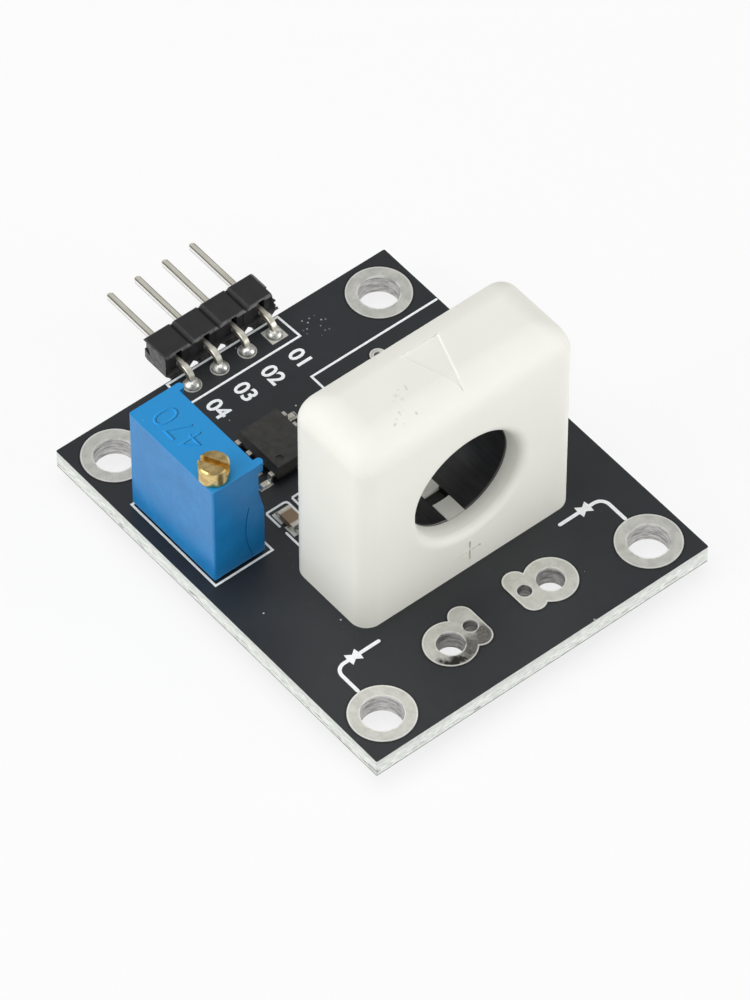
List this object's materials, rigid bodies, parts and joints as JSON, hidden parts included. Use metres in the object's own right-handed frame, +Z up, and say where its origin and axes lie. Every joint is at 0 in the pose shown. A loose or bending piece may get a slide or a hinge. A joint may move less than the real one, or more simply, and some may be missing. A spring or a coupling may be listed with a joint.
{
  "type": "hall effect current sensor module",
  "caption": "Hall effect current sensor: an upright housing with a round bore for the conductor, on a small board with wire lands, a pin header and a screw-adjusted trimmer.",
  "frame": {"origin": "centre of the rectangle of the four mounting holes, on the underside of the board", "axes": "+Z up out of the component side of the board; +Y towards the pin header; +X to the right seen from above with the header at the back; the bore runs along Y"},
  "size_m": [0.0306, 0.0449, 0.022],
  "materials": {
    "board": "glass fibre laminate, glossy black mask",
    "tinned_land": "tin plated, matt",
    "solder": "solder, bright",
    "tinned_pin": "tin plated, satin",
    "header_moulding": "matt",
    "sensor_moulding": "satin warm white",
    "ferrite": "satin black",
    "carrier_moulding": "satin warm white",
    "element_moulding": "matt",
    "potting": "cast resin",
    "trimmer_moulding": "satin blue",
    "screw_brass": "turned",
    "seal_rubber": "smooth",
    "wheel_moulding": "natural",
    "wiper_metal": "spring metal",
    "track_film": "fired film",
    "plate_ceramic": "fired ceramic",
    "base_seal": "cast resin",
    "chip_moulding": "moulded",
    "capacitor_ceramic": "fired ceramic",
    "capacitor_end": "tin plated"
  },
  "bodies": {
    "sensor_board": {"amplifier_body": "chip_moulding", "amplifier_leads": "tinned_pin", "capacitor_body_1": "capacitor_ceramic", "capacitor_body_2": "capacitor_ceramic", "capacitor_ends_1": "capacitor_end", "capacitor_ends_2": "capacitor_end", "circuit_board": "board", "hall_element": "element_moulding", "header_housing": "header_moulding", "header_pad_1": "tinned_land", "header_pad_2": "tinned_land", "header_pad_3": "tinned_land", "header_pad_4": "tinned_land", "header_pin_1": "tinned_pin", "header_pin_2": "tinned_pin", "header_pin_3": "tinned_pin", "header_pin_4": "tinned_pin", "header_solder_1": "solder", "header_solder_2": "solder", "header_solder_3": "solder", "header_solder_4": "solder", "mounting_hole_plating_1": "tinned_land", "mounting_hole_plating_2": "tinned_land", "mounting_hole_plating_3": "tinned_land", "mounting_hole_plating_4": "tinned_land", "sensor_carrier": "carrier_moulding", "sensor_core": "ferrite", "sensor_housing": "sensor_moulding", "sensor_lead_1": "tinned_pin", "sensor_lead_2": "tinned_pin", "sensor_lead_3": "tinned_pin", "sensor_pads": "tinned_land", "sensor_potting": "potting", "sensor_solder_1": "solder", "sensor_solder_2": "solder", "sensor_solder_3": "solder", "surface_pads": "tinned_land", "surface_solder": "solder", "trimmer_base_seal": "base_seal", "trimmer_housing": "trimmer_moulding", "trimmer_pads": "tinned_land", "trimmer_pin_1": "tinned_pin", "trimmer_pin_2": "tinned_pin", "trimmer_pin_3": "tinned_pin", "trimmer_plate": "plate_ceramic", "trimmer_seal_ring": "seal_rubber", "trimmer_solder_1": "solder", "trimmer_solder_2": "solder", "trimmer_solder_3": "solder", "trimmer_track": "track_film", "via_plating": "tinned_land", "wire_pad_left": "tinned_land", "wire_pad_right": "tinned_land"},
    "adjusting_screw": {"trimmer_screw": "screw_brass"},
    "wiper_wheel": {"trimmer_wheel": "wheel_moulding", "trimmer_wiper": "wiper_metal"}
  },
  "joints": [
    {"name": "screw_turn", "type": "hinge", "parent": "sensor_board", "child": "adjusting_screw", "pos_m": [-0.01295, 0.0026, 0.0124], "axis": [0, 0, 1], "range_deg": [-4500, 4500]},
    {"name": "wheel_turn", "type": "hinge", "parent": "sensor_board", "child": "wiper_wheel", "pos_m": [-0.01295, 0.00602, 0.0066], "axis": [1, 0, 0], "range_deg": [-151, 151]}
  ],
  "couplings": [
    {"joint": "wheel_turn", "follows": "screw_turn", "ratio": 0.033333}
  ]
}
